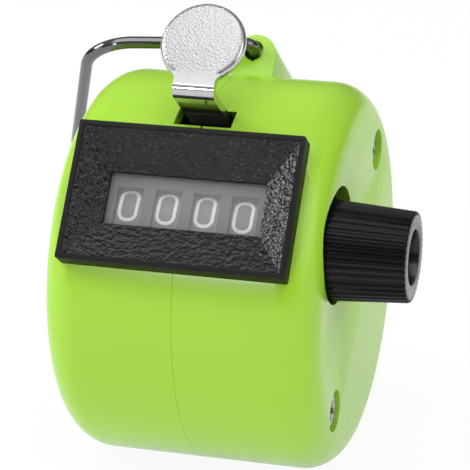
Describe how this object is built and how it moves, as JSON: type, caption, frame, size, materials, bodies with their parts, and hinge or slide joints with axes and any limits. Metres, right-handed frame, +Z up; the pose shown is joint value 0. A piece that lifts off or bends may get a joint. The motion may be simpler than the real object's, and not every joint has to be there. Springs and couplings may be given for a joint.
{
  "type": "tally counter",
  "caption": "Hand-held mechanical tally counter: round leaning drum case with a number window, a thumb lever that counts, a ribbed reset knob and a hinged finger ring.",
  "frame": {"origin": "middle of the standing flat under the drum, on the surface it stands on", "axes": "+X along the drum axis to the reset knob, +Y to the back, away from the number window, +Z up"},
  "size_m": [0.0564, 0.0591, 0.0608],
  "materials": {
    "green_case": "gloss",
    "black_plastic": "grained",
    "knob_plastic": "satin",
    "clear_window": "clear",
    "grey_mask": "matte",
    "wheel_plastic": "matte, white digits",
    "pinion_plastic": "natural",
    "chromed_steel": "chromed, pebbled pad",
    "chromed_wire": "chromed",
    "bright_steel": "zinc plated",
    "spring_steel": "spring steel",
    "collar_brass": "turned"
  },
  "bodies": {
    "case": {"left_shell": "green_case", "right_shell": "green_case", "case_screws": "bright_steel", "bezel": "black_plastic", "window_lens": "clear_window", "number_mask": "grey_mask", "left_frame": "bright_steel", "right_frame": "bright_steel", "cross_rods": "bright_steel", "pinion_shaft": "bright_steel", "return_spring": "spring_steel", "detent_spring": "spring_steel"},
    "lever": {"thumb_lever": "chromed_steel", "pawl_pin": "bright_steel"},
    "pawl": {"drive_pawl": "bright_steel"},
    "units": {"units_wheel": "wheel_plastic"},
    "tens": {"tens_wheel": "wheel_plastic"},
    "hundreds": {"hundreds_wheel": "wheel_plastic"},
    "thousands": {"thousands_wheel": "wheel_plastic"},
    "tens_carry": {"tens_pinion": "pinion_plastic"},
    "hundreds_carry": {"hundreds_pinion": "pinion_plastic"},
    "thousands_carry": {"thousands_pinion": "pinion_plastic"},
    "reset": {"wheel_shaft": "bright_steel", "shaft_collars": "collar_brass", "reset_knob": "knob_plastic"},
    "ring": {"finger_ring": "chromed_wire"}
  },
  "joints": [
    {"name": "lever_press", "type": "slide", "parent": "case", "child": "lever", "axis": [0, 0.8202, -0.5721], "range_m": [0, 0.0042], "stiffness_N_per_m": 200, "springref_m": -0.002, "deforming": ["return_spring"]},
    {"name": "pawl_lift", "type": "hinge", "parent": "lever", "child": "pawl", "pos_m": [0, -0.00155, 0.03857], "axis": [-1, 0, 0], "range_deg": [0, 10]},
    {"name": "units_turn", "type": "hinge", "parent": "case", "child": "units", "pos_m": [0, -0.01222, 0.03193], "axis": [1, 0, 0], "continuous": true},
    {"name": "tens_turn", "type": "hinge", "parent": "case", "child": "tens", "pos_m": [0, -0.01222, 0.03193], "axis": [1, 0, 0], "continuous": true},
    {"name": "hundreds_turn", "type": "hinge", "parent": "case", "child": "hundreds", "pos_m": [0, -0.01222, 0.03193], "axis": [1, 0, 0], "continuous": true},
    {"name": "thousands_turn", "type": "hinge", "parent": "case", "child": "thousands", "pos_m": [0, -0.01222, 0.03193], "axis": [1, 0, 0], "continuous": true},
    {"name": "tens_carry_turn", "type": "hinge", "parent": "case", "child": "tens_carry", "pos_m": [0, -0.0105, 0.02229], "axis": [1, 0, 0], "continuous": true},
    {"name": "hundreds_carry_turn", "type": "hinge", "parent": "case", "child": "hundreds_carry", "pos_m": [0, -0.0105, 0.02229], "axis": [1, 0, 0], "continuous": true},
    {"name": "thousands_carry_turn", "type": "hinge", "parent": "case", "child": "thousands_carry", "pos_m": [0, -0.0105, 0.02229], "axis": [1, 0, 0], "continuous": true},
    {"name": "reset_turn", "type": "hinge", "parent": "case", "child": "reset", "pos_m": [0, -0.01222, 0.03193], "axis": [1, 0, 0], "continuous": true},
    {"name": "ring_swing", "type": "hinge", "parent": "case", "child": "ring", "pos_m": [0.0005, 0.01111, 0.05157], "axis": [-0.3216, 0.6556, -0.6833], "range_deg": [0, 115]}
  ],
  "couplings": [
    {"joint": "tens_turn", "follows": "units_turn", "ratio": 0.1},
    {"joint": "hundreds_turn", "follows": "units_turn", "ratio": 0.01},
    {"joint": "thousands_turn", "follows": "units_turn", "ratio": 0.001},
    {"joint": "tens_carry_turn", "follows": "units_turn", "ratio": -0.25},
    {"joint": "hundreds_carry_turn", "follows": "units_turn", "ratio": -0.025},
    {"joint": "thousands_carry_turn", "follows": "units_turn", "ratio": -0.0025}
  ]
}
